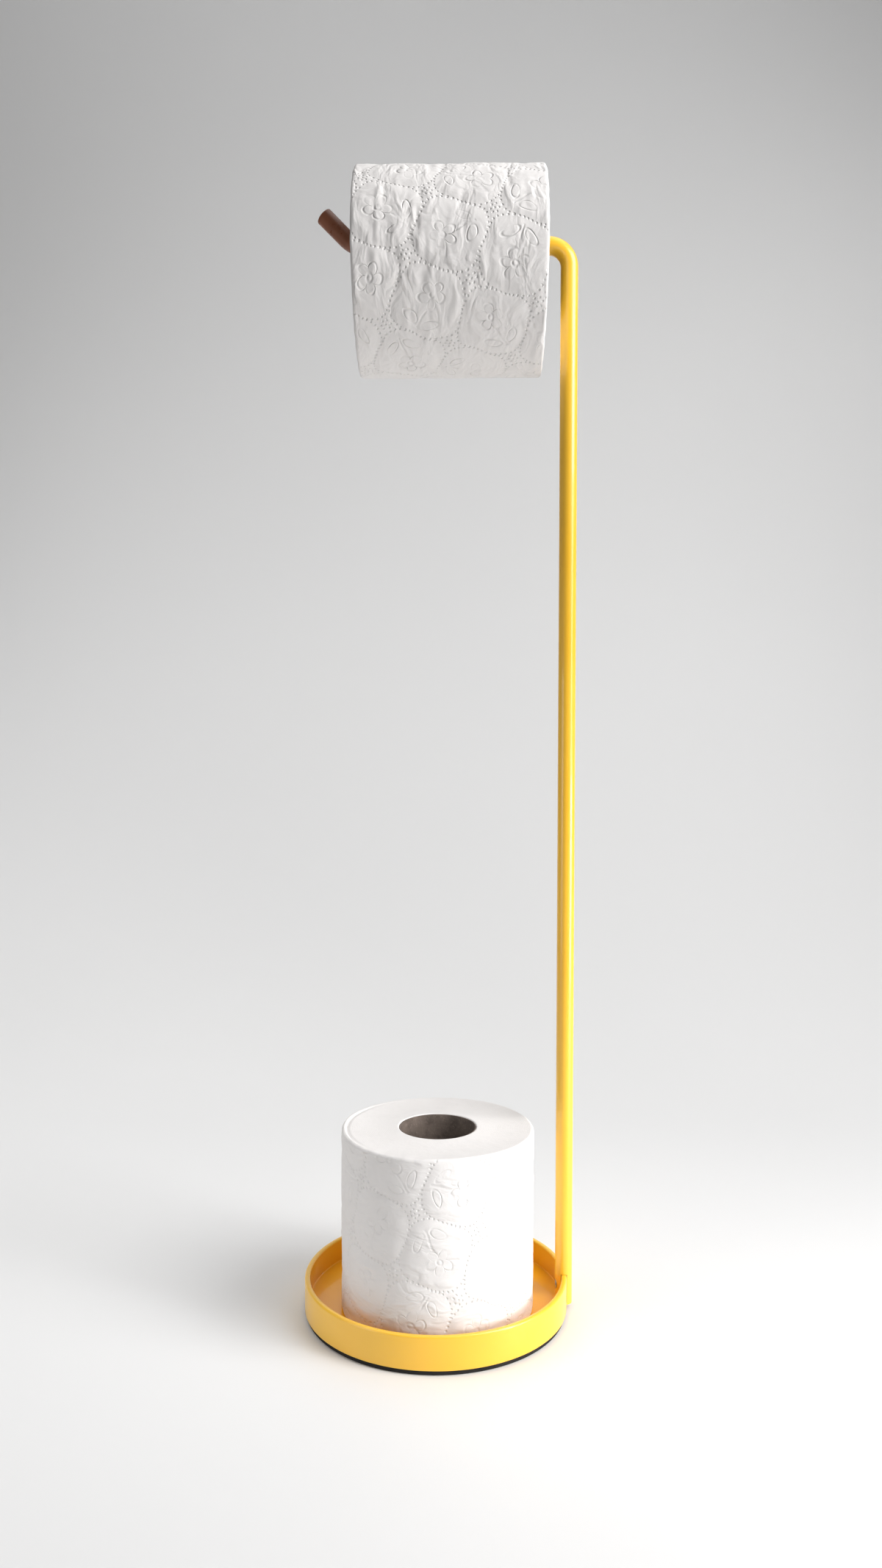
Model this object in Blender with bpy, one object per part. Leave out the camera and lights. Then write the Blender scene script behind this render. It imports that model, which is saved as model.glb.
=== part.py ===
"""Freestanding toilet paper holder: a round tray, a bent rod with an upturned arm and two rolls.

All sizes are in metres. +Z is up, the ground is z = 0, the tray is centred on the Z axis,
and the arm points along -X.
"""
import math

import bmesh
import bpy
from mathutils import Vector

# The gap kept between pieces that touch, and how far a cutter runs past what it cuts
SEAT_GAP = 0.0003
CUT_OVERRUN = 0.0020

# Rubber pad under the tray
PAD_THICKNESS = 0.0022
PAD_INSET = 0.0010
PAD_EDGE_ROUND = 0.0004

# Tray: a slice of tube, with a thick plate let into it as its floor and weight.
# The room is what is free all round a roll that stands in the tray's middle.
TRAY_ROLL_ROOM = 0.0171
TRAY_WALL = 0.0030
TRAY_HEIGHT = 0.0172
TRAY_RIM_ROUND = 0.0011
TRAY_FOOT_ROUND = 0.0004
PLATE_THICKNESS = 0.0045
PLATE_EDGE_ROUND = 0.0003

# Rod: upright, top bend and arm in one piece, with a forked foot that stands over the rim
ROD_RADIUS = 0.0046
ROD_HEIGHT = 0.5715
TOP_BEND_RADIUS = 0.0110
OUTER_TINE_LIFT = 0.0008

# Upturned end of the arm: the corner is where the two centre lines would meet
ROLL_TO_CORNER = 0.0017
TIP_FROM_CORNER = 0.0231
TIP_BEND_RADIUS = 0.0150
TIP_ANGLE = math.radians(45)

# Sleeve pushed over the thinner end of the rod, flush with it outside
SLEEVE_WALL = 0.0013
SLEEVE_LAP = 0.0040
SLEEVE_END_THICKNESS = 0.0020
SLEEVE_END_ROUND = 0.0007
SPIGOT_END_ROUND = 0.0005

# Countersunk screw that clamps the fork to the tray's wall, with a hexagon socket
SCREW_RADIUS = 0.0015
SCREW_HEAD_RADIUS = 0.0027
SCREW_HEAD_RIM = 0.0003
SCREW_HEAD_DEPTH = 0.0015
SCREW_END_COVER = 0.0013
SCREW_TIP_CHAMFER = 0.0004
SCREW_SINK = 0.0002
SCREW_SOCKET_RADIUS = 0.0012
SCREW_SOCKET_DEPTH = 0.0008
SCREW_HEIGHT_SHARE = 0.5

# Paper rolls: a cardboard tube with paper wound on it, a little wider than the tube
ROLL_WIDTH = 0.0970
ROLL_RADIUS = 0.0510
ROLL_EDGE_ROUND = 0.0016
ROLL_BORE_ROUND = 0.0008
CORE_RADIUS = 0.0205
CORE_WALL = 0.0005
CORE_INSET = 0.0008
HUNG_ROLL_FROM_UPRIGHT = 0.0137
SPARE_ROLL_X_SHARE = 0.07
SPARE_ROLL_Y_SHARE = -0.70

# How finely round shapes are drawn
TRAY_STEPS = 96
ROLL_STEPS = 64
SCREW_STEPS = 24
ROD_BEVEL_STEPS = 10
BEND_STEPS = 10
TIP_BEND_STEPS = 8
ROUND_STEPS = 3
SOCKET_SIDES = 6
MERGE_DISTANCE = 0.000001
SMOOTH_ANGLE = math.radians(35)

# Places worked out from the sizes
TRAY_UNDERSIDE = PAD_THICKNESS + SEAT_GAP
RIM_TOP = TRAY_UNDERSIDE + TRAY_HEIGHT
FLOOR_TOP = TRAY_UNDERSIDE + PLATE_THICKNESS
TRAY_BORE = ROLL_RADIUS + TRAY_ROLL_ROOM
TRAY_RADIUS = TRAY_BORE + TRAY_WALL
ROD_X = TRAY_RADIUS - TRAY_WALL / 2
ROD_FOOT = TRAY_UNDERSIDE + OUTER_TINE_LIFT
ARM_Z = ROD_HEIGHT - ROD_RADIUS
TIP_TANGENT = TIP_BEND_RADIUS * math.tan(TIP_ANGLE / 2)
TIP_BEND_X = ROD_X - HUNG_ROLL_FROM_UPRIGHT - ROLL_WIDTH - ROLL_TO_CORNER + TIP_TANGENT
TIP_STRAIGHT = TIP_FROM_CORNER - TIP_TANGENT
SPIGOT_RADIUS = ROD_RADIUS - SLEEVE_WALL - SEAT_GAP
SPIGOT_STRAIGHT = TIP_STRAIGHT - SLEEVE_END_THICKNESS - SEAT_GAP
SCREW_HEAD_X = ROD_X - ROD_RADIUS + SCREW_SINK
SCREW_Z = FLOOR_TOP + (RIM_TOP - FLOOR_TOP) * SCREW_HEIGHT_SHARE
SCREW_LENGTH = 2 * ROD_RADIUS - SCREW_SINK - SCREW_END_COVER
CORE_BORE = CORE_RADIUS - CORE_WALL
CORE_HALF = ROLL_WIDTH / 2 - CORE_INSET
HUNG_ROLL_X = ROD_X - HUNG_ROLL_FROM_UPRIGHT - ROLL_WIDTH / 2
TIP_INNER_RADIUS = TIP_BEND_RADIUS - ROD_RADIUS
REACH_INTO_BEND = max(0, TIP_BEND_X - HUNG_ROLL_X + CORE_HALF)
RISE_IN_CORE = TIP_INNER_RADIUS - math.sqrt(TIP_INNER_RADIUS ** 2 - REACH_INTO_BEND ** 2)
HUNG_ROLL_Z = ROD_HEIGHT + RISE_IN_CORE + SEAT_GAP - CORE_BORE
SPARE_ROLL_Z = FLOOR_TOP + SEAT_GAP + ROLL_WIDTH / 2


def clear_scene():
    """Remove every object of the open scene."""
    for thing in list(bpy.data.objects):
        bpy.data.objects.remove(thing, do_unlink=True)


def make_material(name, colour, roughness, metallic):
    """Return a material whose Principled BSDF has the given colour and finish."""
    material = bpy.data.materials.new(name)
    material.use_nodes = True
    shader = material.node_tree.nodes["Principled BSDF"]
    shader.inputs["Base Color"].default_value = (*colour, 1.0)
    shader.inputs["Roughness"].default_value = roughness
    shader.inputs["Metallic"].default_value = metallic
    return material


def add_object(name, mesh, material):
    """Link a mesh to the scene as a named object with one material, shaded smooth."""
    thing = bpy.data.objects.new(name, mesh)
    bpy.context.scene.collection.objects.link(thing)
    if material is not None:
        mesh.materials.clear()
        mesh.materials.append(material)
    mesh.shade_smooth()
    mesh.set_sharp_from_angle(angle=SMOOTH_ANGLE)
    return thing


def finish_mesh(name, shape):
    """Close a bmesh up with outward faces and return it as a mesh."""
    bmesh.ops.remove_doubles(shape, verts=shape.verts, dist=MERGE_DISTANCE)
    bmesh.ops.recalc_face_normals(shape, faces=shape.faces)
    mesh = bpy.data.meshes.new(name)
    shape.to_mesh(mesh)
    shape.free()
    return mesh


def rounded_outline(corners):
    """Return the points of an outline whose right-angled corners are rounded.

    Each corner is (radius, height, rounding), in the order in which the outline runs.
    """
    points = []
    for index, (radius, height, rounding) in enumerate(corners):
        corner = Vector((radius, height))
        if rounding == 0:
            points.append(corner)
            continue
        before = Vector(corners[index - 1][:2]) - corner
        after = Vector(corners[(index + 1) % len(corners)][:2]) - corner
        back = before.normalized() * rounding
        ahead = after.normalized() * rounding
        centre = corner + back + ahead
        for step in range(ROUND_STEPS + 1):
            turn = math.pi / 2 * step / ROUND_STEPS
            points.append(centre - ahead * math.cos(turn) - back * math.sin(turn))
    return points


def turned_mesh(name, outline, steps, closed):
    """Turn an outline of (radius, height) points about Z.

    A closed outline makes a ring. The ends of an open one are filled with flat discs.
    """
    shape = bmesh.new()
    verts = [shape.verts.new((radius, 0, height)) for radius, height in outline]
    edges = [shape.edges.new(pair) for pair in zip(verts, verts[1:])]
    if closed:
        edges.append(shape.edges.new((verts[-1], verts[0])))
    bmesh.ops.spin(
        shape,
        geom=verts + edges,
        cent=(0, 0, 0),
        axis=(0, 0, 1),
        angle=math.tau,
        steps=steps,
        use_merge=True,
    )
    if not closed:
        bmesh.ops.holes_fill(shape, edges=shape.edges)
    return finish_mesh(name, shape)


def with_radius(points, radius):
    """Pair each point of a centre line with one radius."""
    return [(point, radius) for point in points]


def tube_mesh(name, stations):
    """Return a round bar through (point, radius) stations, with flat ends."""
    curve = bpy.data.curves.new(name, "CURVE")
    curve.dimensions = "3D"
    curve.bevel_depth = ROD_RADIUS
    curve.bevel_resolution = ROD_BEVEL_STEPS
    curve.use_fill_caps = True
    spline = curve.splines.new("POLY")
    spline.points.add(len(stations) - 1)
    for spot, (point, radius) in zip(spline.points, stations):
        spot.co = (*point, 1)
        spot.radius = radius / ROD_RADIUS
    holder = bpy.data.objects.new(name, curve)
    shape = bmesh.new()
    shape.from_mesh(holder.to_mesh())
    holder.to_mesh_clear()
    bpy.data.objects.remove(holder)
    bpy.data.curves.remove(curve)
    return finish_mesh(name, shape)


def cut(target, cutter):
    """Take a hidden cutter's shape out of an object with a Boolean modifier."""
    cutter.hide_render = True
    cutter.display_type = "WIRE"
    modifier = target.modifiers.new(cutter.name, "BOOLEAN")
    modifier.operation = "DIFFERENCE"
    modifier.solver = "EXACT"
    modifier.object = cutter


def soften_edges(target, width):
    """Round an object's sharp edges by a small width."""
    modifier = target.modifiers.new("edge_round", "BEVEL")
    modifier.width = width
    modifier.segments = ROUND_STEPS
    modifier.limit_method = "ANGLE"
    modifier.angle_limit = math.radians(60)


def upright_and_bend():
    """Return the rod's centre line from its foot to the end of the top bend."""
    points = [Vector((ROD_X, 0, ROD_FOOT))]
    centre = Vector((ROD_X - TOP_BEND_RADIUS, 0, ARM_Z - TOP_BEND_RADIUS))
    for step in range(BEND_STEPS + 1):
        turn = math.pi / 2 * step / BEND_STEPS
        points.append(centre + TOP_BEND_RADIUS * Vector((math.cos(turn), 0, math.sin(turn))))
    return points


def on_arm(distance):
    """Return the point of the arm's centre line that far before the tip's bend."""
    return Vector((TIP_BEND_X + distance, 0, ARM_Z))


def tip_bend_and_end(straight):
    """Return the centre line of the tip's bend and of a straight run after it."""
    points = []
    centre = Vector((TIP_BEND_X, 0, ARM_Z + TIP_BEND_RADIUS))
    for step in range(TIP_BEND_STEPS + 1):
        turn = TIP_ANGLE * step / TIP_BEND_STEPS
        points.append(centre - TIP_BEND_RADIUS * Vector((math.sin(turn), 0, math.cos(turn))))
    ahead = Vector((-math.cos(TIP_ANGLE), 0, math.sin(TIP_ANGLE)))
    points.append(points[-1] + ahead * straight)
    return points


def screw_outline(growth, length):
    """Return the screw's outline from head to tip, grown all round for its hole."""
    return [
        (SCREW_HEAD_RADIUS + growth, CUT_OVERRUN if growth else 0),
        (SCREW_HEAD_RADIUS + growth, -SCREW_HEAD_RIM),
        (SCREW_RADIUS + growth, -SCREW_HEAD_DEPTH),
        (SCREW_RADIUS + growth, -length + SCREW_TIP_CHAMFER),
        (SCREW_RADIUS + growth - SCREW_TIP_CHAMFER, -length),
    ]


def place_along_screw(thing):
    """Lay an object made along Z on the screw's axis, head towards the tray's middle."""
    thing.location = (SCREW_HEAD_X, 0, SCREW_Z)
    thing.rotation_euler = (0, -math.pi / 2, 0)


def make_pad(material):
    """Make the rubber disc that the holder stands on."""
    radius = TRAY_RADIUS - PAD_INSET
    outline = rounded_outline([
        (0, 0, 0),
        (radius, 0, PAD_EDGE_ROUND),
        (radius, PAD_THICKNESS, PAD_EDGE_ROUND),
        (0, PAD_THICKNESS, 0),
    ])[1:-1]
    add_object("foot_pad", turned_mesh("foot_pad", outline, TRAY_STEPS, False), material)


def make_plate(material):
    """Make the heavy round plate that is the tray's floor."""
    radius = TRAY_BORE - SEAT_GAP
    outline = rounded_outline([
        (0, TRAY_UNDERSIDE, 0),
        (radius, TRAY_UNDERSIDE, PLATE_EDGE_ROUND),
        (radius, FLOOR_TOP, PLATE_EDGE_ROUND),
        (0, FLOOR_TOP, 0),
    ])[1:-1]
    add_object("base_plate", turned_mesh("base_plate", outline, TRAY_STEPS, False), material)


def make_ring(material, screw_hole):
    """Make the tray's wall, with the hole that the screw goes through."""
    outline = rounded_outline([
        (TRAY_RADIUS, TRAY_UNDERSIDE, TRAY_FOOT_ROUND),
        (TRAY_RADIUS, RIM_TOP, TRAY_RIM_ROUND),
        (TRAY_BORE, RIM_TOP, TRAY_RIM_ROUND),
        (TRAY_BORE, TRAY_UNDERSIDE, TRAY_FOOT_ROUND),
    ])
    ring = add_object("tray_ring", turned_mesh("tray_ring", outline, TRAY_STEPS, True), material)
    cut(ring, screw_hole)


def make_foot_cutter():
    """Make the tray's own section, grown by the gap, which shapes the rod's fork."""
    outer = TRAY_RADIUS + SEAT_GAP
    inner = TRAY_BORE - SEAT_GAP
    outline = [
        (outer, ROD_FOOT - CUT_OVERRUN),
        (outer, RIM_TOP + SEAT_GAP),
        (inner, RIM_TOP + SEAT_GAP),
        (inner, FLOOR_TOP + SEAT_GAP),
    ]
    mesh = turned_mesh("foot_cutter", outline, TRAY_STEPS, False)
    return add_object("foot_cutter", mesh, None)


def make_screw_hole():
    """Make the countersunk hole that holds the screw, as a cutter."""
    outline = screw_outline(SEAT_GAP, SCREW_LENGTH + SEAT_GAP)
    hole = add_object("screw_hole", turned_mesh("screw_hole", outline, SCREW_STEPS, False), None)
    place_along_screw(hole)
    return hole


def make_rod(material, screw_hole):
    """Make the upright, its bend and its arm, ending in the spigot inside the sleeve."""
    stations = with_radius(upright_and_bend(), ROD_RADIUS)
    stations.append((on_arm(SLEEVE_LAP + 2 * SEAT_GAP), ROD_RADIUS))
    stations.append((on_arm(SLEEVE_LAP + SEAT_GAP), SPIGOT_RADIUS))
    stations += with_radius(tip_bend_and_end(SPIGOT_STRAIGHT - SPIGOT_END_ROUND), SPIGOT_RADIUS)
    stations.append((tip_bend_and_end(SPIGOT_STRAIGHT)[-1], SPIGOT_RADIUS - SPIGOT_END_ROUND))
    rod = add_object("upright_rod", tube_mesh("upright_rod", stations), material)
    cut(rod, make_foot_cutter())
    cut(rod, screw_hole)


def make_sleeve(material):
    """Make the brown sleeve over the arm's upturned end."""
    points = [on_arm(SLEEVE_LAP)] + tip_bend_and_end(TIP_STRAIGHT)
    mesh = tube_mesh("arm_end_sleeve", with_radius(points, ROD_RADIUS))
    sleeve = add_object("arm_end_sleeve", mesh, material)
    soften_edges(sleeve, SLEEVE_END_ROUND)
    bore_points = [on_arm(SLEEVE_LAP + CUT_OVERRUN)]
    bore_points += tip_bend_and_end(TIP_STRAIGHT - SLEEVE_END_THICKNESS)
    bore_mesh = tube_mesh("sleeve_bore", with_radius(bore_points, ROD_RADIUS - SLEEVE_WALL))
    bore = add_object("sleeve_bore", bore_mesh, None)
    cut(sleeve, bore)


def make_screw(material):
    """Make the screw that clamps the fork."""
    mesh = turned_mesh("fork_screw", screw_outline(0, SCREW_LENGTH), SCREW_STEPS, False)
    screw = add_object("fork_screw", mesh, material)
    place_along_screw(screw)
    socket_outline = [
        (SCREW_SOCKET_RADIUS, CUT_OVERRUN),
        (SCREW_SOCKET_RADIUS, -SCREW_SOCKET_DEPTH),
    ]
    socket_mesh = turned_mesh("screw_socket", socket_outline, SOCKET_SIDES, False)
    socket = add_object("screw_socket", socket_mesh, None)
    place_along_screw(socket)
    cut(screw, socket)


def make_roll(name, place, rotation, meshes, materials):
    """Make one roll of paper on its core, under an empty on its axis."""
    axis = bpy.data.objects.new(name + "_axis", None)
    bpy.context.scene.collection.objects.link(axis)
    axis.location = place
    axis.rotation_euler = rotation
    for piece in ("core", "paper"):
        thing = add_object(name + "_" + piece, meshes[piece], materials[piece])
        thing.parent = axis


def make_rolls(materials):
    """Make the roll that hangs on the arm and the spare roll that stands in the tray."""
    half = ROLL_WIDTH / 2
    inner = CORE_RADIUS + SEAT_GAP
    core_outline = rounded_outline([
        (CORE_RADIUS, -CORE_HALF, 0),
        (CORE_RADIUS, CORE_HALF, 0),
        (CORE_BORE, CORE_HALF, 0),
        (CORE_BORE, -CORE_HALF, 0),
    ])
    paper_outline = rounded_outline([
        (ROLL_RADIUS, -half, ROLL_EDGE_ROUND),
        (ROLL_RADIUS, half, ROLL_EDGE_ROUND),
        (inner, half, ROLL_BORE_ROUND),
        (inner, -half, ROLL_BORE_ROUND),
    ])
    meshes = {
        "core": turned_mesh("roll_core", core_outline, ROLL_STEPS, True),
        "paper": turned_mesh("roll_paper", paper_outline, ROLL_STEPS, True),
    }
    hung_place = (HUNG_ROLL_X, 0, HUNG_ROLL_Z)
    make_roll("hung_roll", hung_place, (0, math.pi / 2, 0), meshes, materials)
    spare_place = (
        TRAY_ROLL_ROOM * SPARE_ROLL_X_SHARE,
        TRAY_ROLL_ROOM * SPARE_ROLL_Y_SHARE,
        SPARE_ROLL_Z,
    )
    make_roll("spare_roll", spare_place, (0, 0, 0), meshes, materials)


def main():
    """Build the whole holder."""
    clear_scene()
    lacquer = make_material("yellow_lacquer", (0.95, 0.50, 0.03), 0.22, 0.0)
    sleeve_brown = make_material("sleeve_brown", (0.085, 0.042, 0.023), 0.45, 0.0)
    rubber = make_material("black_rubber", (0.012, 0.012, 0.012), 0.8, 0.0)
    screw_steel = make_material("screw_steel", (0.55, 0.55, 0.55), 0.3, 1.0)
    roll_materials = {
        "core": make_material("core_cardboard", (0.30, 0.25, 0.21), 0.9, 0.0),
        "paper": make_material("white_paper", (0.86, 0.85, 0.83), 0.95, 0.0),
    }
    screw_hole = make_screw_hole()
    make_pad(rubber)
    make_plate(lacquer)
    make_ring(lacquer, screw_hole)
    make_rod(lacquer, screw_hole)
    make_screw(screw_steel)
    make_sleeve(sleeve_brown)
    make_rolls(roll_materials)


main()
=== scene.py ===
"""The finished look of a freestanding toilet paper holder, over its fixed CAD frame.

All sizes are in metres. +Z is up, the ground is z = 0, the tray is centred on the Z axis
and the arm points along -X.
"""

from math import atan2, cos, hypot, pi, radians, sin, sqrt, tau

import bmesh
import bpy
import numpy as np
from bpy.props import FloatProperty, FloatVectorProperty, IntProperty, PointerProperty
from mathutils import Matrix, Vector


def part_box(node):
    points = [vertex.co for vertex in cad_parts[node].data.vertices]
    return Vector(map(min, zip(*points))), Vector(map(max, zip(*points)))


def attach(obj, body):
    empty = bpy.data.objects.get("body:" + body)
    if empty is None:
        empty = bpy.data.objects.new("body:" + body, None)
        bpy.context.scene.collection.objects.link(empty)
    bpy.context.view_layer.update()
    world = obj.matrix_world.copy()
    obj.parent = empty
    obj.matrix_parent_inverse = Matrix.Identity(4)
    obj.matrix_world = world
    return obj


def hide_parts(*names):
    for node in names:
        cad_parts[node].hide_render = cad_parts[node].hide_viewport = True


bl_info = {
    "name": "Toilet Paper Holder Finish",
    "version": (1, 0, 0),
    "blender": (4, 5, 0),
    "location": "3D View > Sidebar > Holder",
    "description": "Dresses the holder's frame with its lacquer, sleeve, cores and embossed paper",
    "category": "Object",
}

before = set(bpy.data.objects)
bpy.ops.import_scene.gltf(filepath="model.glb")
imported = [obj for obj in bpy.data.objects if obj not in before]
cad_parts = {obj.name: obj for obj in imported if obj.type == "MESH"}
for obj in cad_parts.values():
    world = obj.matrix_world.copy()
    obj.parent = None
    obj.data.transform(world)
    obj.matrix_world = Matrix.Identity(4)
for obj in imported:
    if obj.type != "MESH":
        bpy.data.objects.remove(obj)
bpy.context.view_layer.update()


def corners(box):
    """Return a box's lowest and highest corners as vectors."""
    return [Vector(corner) for corner in box]


# What the frame says about each piece
PAD_LOW, PAD_HIGH = corners(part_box("foot_pad"))
RING_LOW, RING_HIGH = corners(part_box("tray_ring"))
PLATE_LOW, PLATE_HIGH = corners(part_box("base_plate"))
ROD_LOW, ROD_HIGH = corners(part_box("upright_rod"))
SLEEVE_LOW, SLEEVE_HIGH = corners(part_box("arm_end_sleeve"))
SCREW_LOW, SCREW_HIGH = corners(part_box("fork_screw"))
HUNG_LOW, HUNG_HIGH = corners(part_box("hung_roll_paper"))
SPARE_LOW, SPARE_HIGH = corners(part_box("spare_roll_paper"))
CORE_LOW, CORE_HIGH = corners(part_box("spare_roll_core"))
ROD_RADIUS = ROD_HIGH.y
ROD_X = ROD_HIGH.x - ROD_RADIUS
ROLL_RADIUS = (SPARE_HIGH.x - SPARE_LOW.x) / 2
ROLL_WIDTH = SPARE_HIGH.z - SPARE_LOW.z
CORE_RADIUS = (CORE_HIGH.x - CORE_LOW.x) / 2
CORE_LENGTH = CORE_HIGH.z - CORE_LOW.z
SCREW_HEAD = (SCREW_HIGH.z - SCREW_LOW.z) / 2
SCREW_PLACE = Vector((SCREW_LOW.x, 0, (SCREW_LOW.z + SCREW_HIGH.z) / 2))

UP = Vector((0, 0, 1))
ALONG_ARM = Vector((1, 0, 0))
AWAY = Vector((0, 1, 0))
QUARTER = pi / 2
MERGE_DISTANCE = 0.000001
SHARP_ANGLE = radians(40)
TIP_RISE = radians(45)
FINISH = "finish_"
CREASE_SPREAD = 0.97
CREASE_LENGTHS = (0.004, 0.013)
CREASE_WIDTHS = (0.0009, 0.0022)
CREASE_TILT = 0.16
CREASE_HEIGHTS = (0.3, 1.0)
WAVE_SHARE = 0.3
PILLOW_EDGE = 0.16
END_ROWS = 40
ROUND_ROWS = 5
LAYER_PITCH = 0.0009
END_SWELL = 0.0002
END_RAGGED = 0.00008
END_DISH = 0.0007
END_INSET = 0.0004
LIFTED_DEPTH, LIFTED_WIDTH, OUTER_SHEET = 0.90, 0.02, 0.93
FRAME_HEIGHT = 2133
VECTORS = "ShaderNodeVectorMath"

# Each roll: name, centre, turn about Y, axis, seed, slack of its creases, depth of its embossing
ROLLS = (
    ("hung", (HUNG_LOW + HUNG_HIGH) / 2, QUARTER, ALONG_ARM, 11, 1.0, 1.0),
    ("spare", (SPARE_LOW + SPARE_HIGH) / 2, 0.0, UP, 37, 0.6, 0.75),
)

# Each light: name, place, target, width, height, spread in degrees
LIGHTS = (
    ("window", (0.90, -0.50, 0.35), (0, 0, 0.35), 0.14, 1.0, 180),
    ("key", (0.65, -0.32, 0.85), (0, 0, 0.1), 0.55, 0.55, 180),
    ("foot", (0.75, -0.30, 0.15), (0, 0, 0.07), 0.35, 0.25, 45),
    ("left", (-0.80, -0.50, 0.20), (0, 0, 0.03), 0.5, 0.4, 60),
    ("floor", (-0.80, 0.0, 0.90), (-0.45, 0.1, 0), 0.6, 0.6, 70),
    ("back_left", (-1.10, 0.20, 0.50), (-0.3, 0.8, 0.3), 0.6, 0.6, 90),
    ("back_right", (0.90, 0.30, 1.30), (0.3, 1.0, 0.3), 0.6, 0.6, 100),
    ("top", (0.0, 0.0, 1.9), (0, 0, 0), 1.6, 1.6, 180),
)


# Settings


def number(name, description, default, **more):
    """Declare a number."""
    return FloatProperty(name=name, description=description, default=default, **more)


def metres(name, description, default):
    """Declare a length."""
    return number(name, description, default, unit="LENGTH")


def turning(name, description, default):
    """Declare an angle."""
    return number(name, description, default, subtype="ANGLE")


def whole(name, description, default, least=0):
    """Declare a count."""
    return IntProperty(name=name, description=description, default=default, min=least)


def colour(name, description, default):
    """Declare a colour."""
    return FloatVectorProperty(name=name, description=description, default=default,
                               subtype="COLOR", min=0, max=1)


class LacquerSettings(bpy.types.PropertyGroup):
    """Colours and finish of the painted, moulded and metal parts."""

    lacquer: colour("Lacquer", "Colour of the yellow lacquer", (0.96, 0.545, 0.036))
    # the deep colour is thicker coat in random patches, and painted shade inside the tray
    deep_lacquer_and_shade: colour("Deep Lacquer", "Colour where the coat is thicker", (0.97, 0.45, 0.006))
    lacquer_roughness: number("Lacquer Roughness", "Roughness of the lacquer", 0.34, min=0, max=1)
    sleeve: colour("Sleeve", "Colour of the brown sleeve", (0.24, 0.086, 0.042))
    rubber: colour("Rubber", "Colour of the foot pad", (0.014, 0.013, 0.013))
    steel: colour("Screw Steel", "Colour of the screw", (0.56, 0.55, 0.53))


class TraySettings(bpy.types.PropertyGroup):
    """Sizes of the tray and of the pad under it."""

    wall: metres("Wall", "Thickness of the tray's wall", 0.0030)
    rim_round: metres("Rim Rounding", "Rounding of the rim's edges", 0.0011)
    foot_round: metres("Foot Rounding", "Rounding of the lower edges", 0.0004)
    paint_fillet: metres("Paint Fillet", "Radius of the paint where floor and wall meet", 0.0006)
    steps: whole("Steps", "Facets round the tray", 256, 24)


class RodSettings(bpy.types.PropertyGroup):
    """Sizes of the rod, its screw and the sleeve on its end."""

    top_bend: metres("Top Bend", "Radius of the top bend's centre line", 0.0110)
    tip_bend: metres("Tip Bend", "Radius of the tip bend's centre line", 0.0150)
    tip_from_corner: metres("Tip Length", "From the arm's corner to the sleeve's end", 0.0231)
    sleeve_wall: metres("Sleeve Wall", "Thickness of the sleeve", 0.0013)
    sleeve_end: metres("Sleeve End", "Thickness of the sleeve's closed end", 0.0020)
    sleeve_round: metres("Sleeve Rounding", "Rounding of the sleeve's edges", 0.0007)
    seat_gap: metres("Seat Gap", "Gap between the fork and the wall", 0.00015)
    sides: whole("Sides", "Facets round the rod", 64, 12)
    bend_steps: whole("Bend Steps", "Points on each bend", 28, 4)


class RollSettings(bpy.types.PropertyGroup):
    """Sizes of the paper's winding, its embossing and its creases."""

    core_wall: metres("Core Wall", "Thickness of the cardboard", 0.0005)
    ply_turns: number("Ply Turns", "Turns that the core's ply seam makes", 1.25)
    ply_edge: metres("Ply Edge", "Height of the core's ply seam", 0.00012)
    glue_gap: metres("Glue Gap", "Gap between the core and the paper", 0.00005)
    bore_round: metres("Bore Rounding", "Rounding of the paper at the core", 0.0008)
    edge_round: metres("Edge Rounding", "Rounding of the roll's edges", 0.0016)
    cells_round: whole("Cells Round", "Embossed cells along a row of the lattice", 9, 2)
    cells_shift: whole("Rows Shifted", "Rows that the lattice climbs on its way round", 3)
    cell_power: number("Cell Squareness", "Round cells at 2, squarer ones above", 3.4, min=2)
    dots_per_cell: whole("Dots per Cell", "Embossed dots round each cell", 48, 8)
    pull: metres("Pull", "How far the creases pull the embossing askew", 0.0045)
    crumple: number("Crumple", "Height of the crumples as a share of the embossing's", 1.9)
    emboss_depth: metres("Emboss Depth", "Depth of the embossing", 0.0004)
    pillow: metres("Pillow", "How far the paper stands up inside the cells", 0.00035)
    crease: metres("Crease", "Height of the soft creases", 0.00045)
    crease_count: whole("Crease Count", "Soft creases on each roll", 110)
    lifted_edge: metres("Lifted Edge", "How far the outer sheet stands off at the ends", 0.0008)
    lifted_place: turning("Lifted Place", "Where round the roll the outer sheet stands off", 1.5)
    lifted_spread: turning("Lifted Spread", "How far round the outer sheet stands off", 0.6)
    loose_edge: metres("Loose Edge", "Step at the end of the outer sheet", 0.00045)
    paper: colour("Paper", "Colour of the paper", (0.81, 0.785, 0.77))
    cardboard: colour("Cardboard", "Colour of the core", (0.19, 0.15, 0.125))
    columns: whole("Columns", "Facets round the paper", 400, 32)
    rows: whole("Rows", "Facets across the paper", 120, 8)


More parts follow.
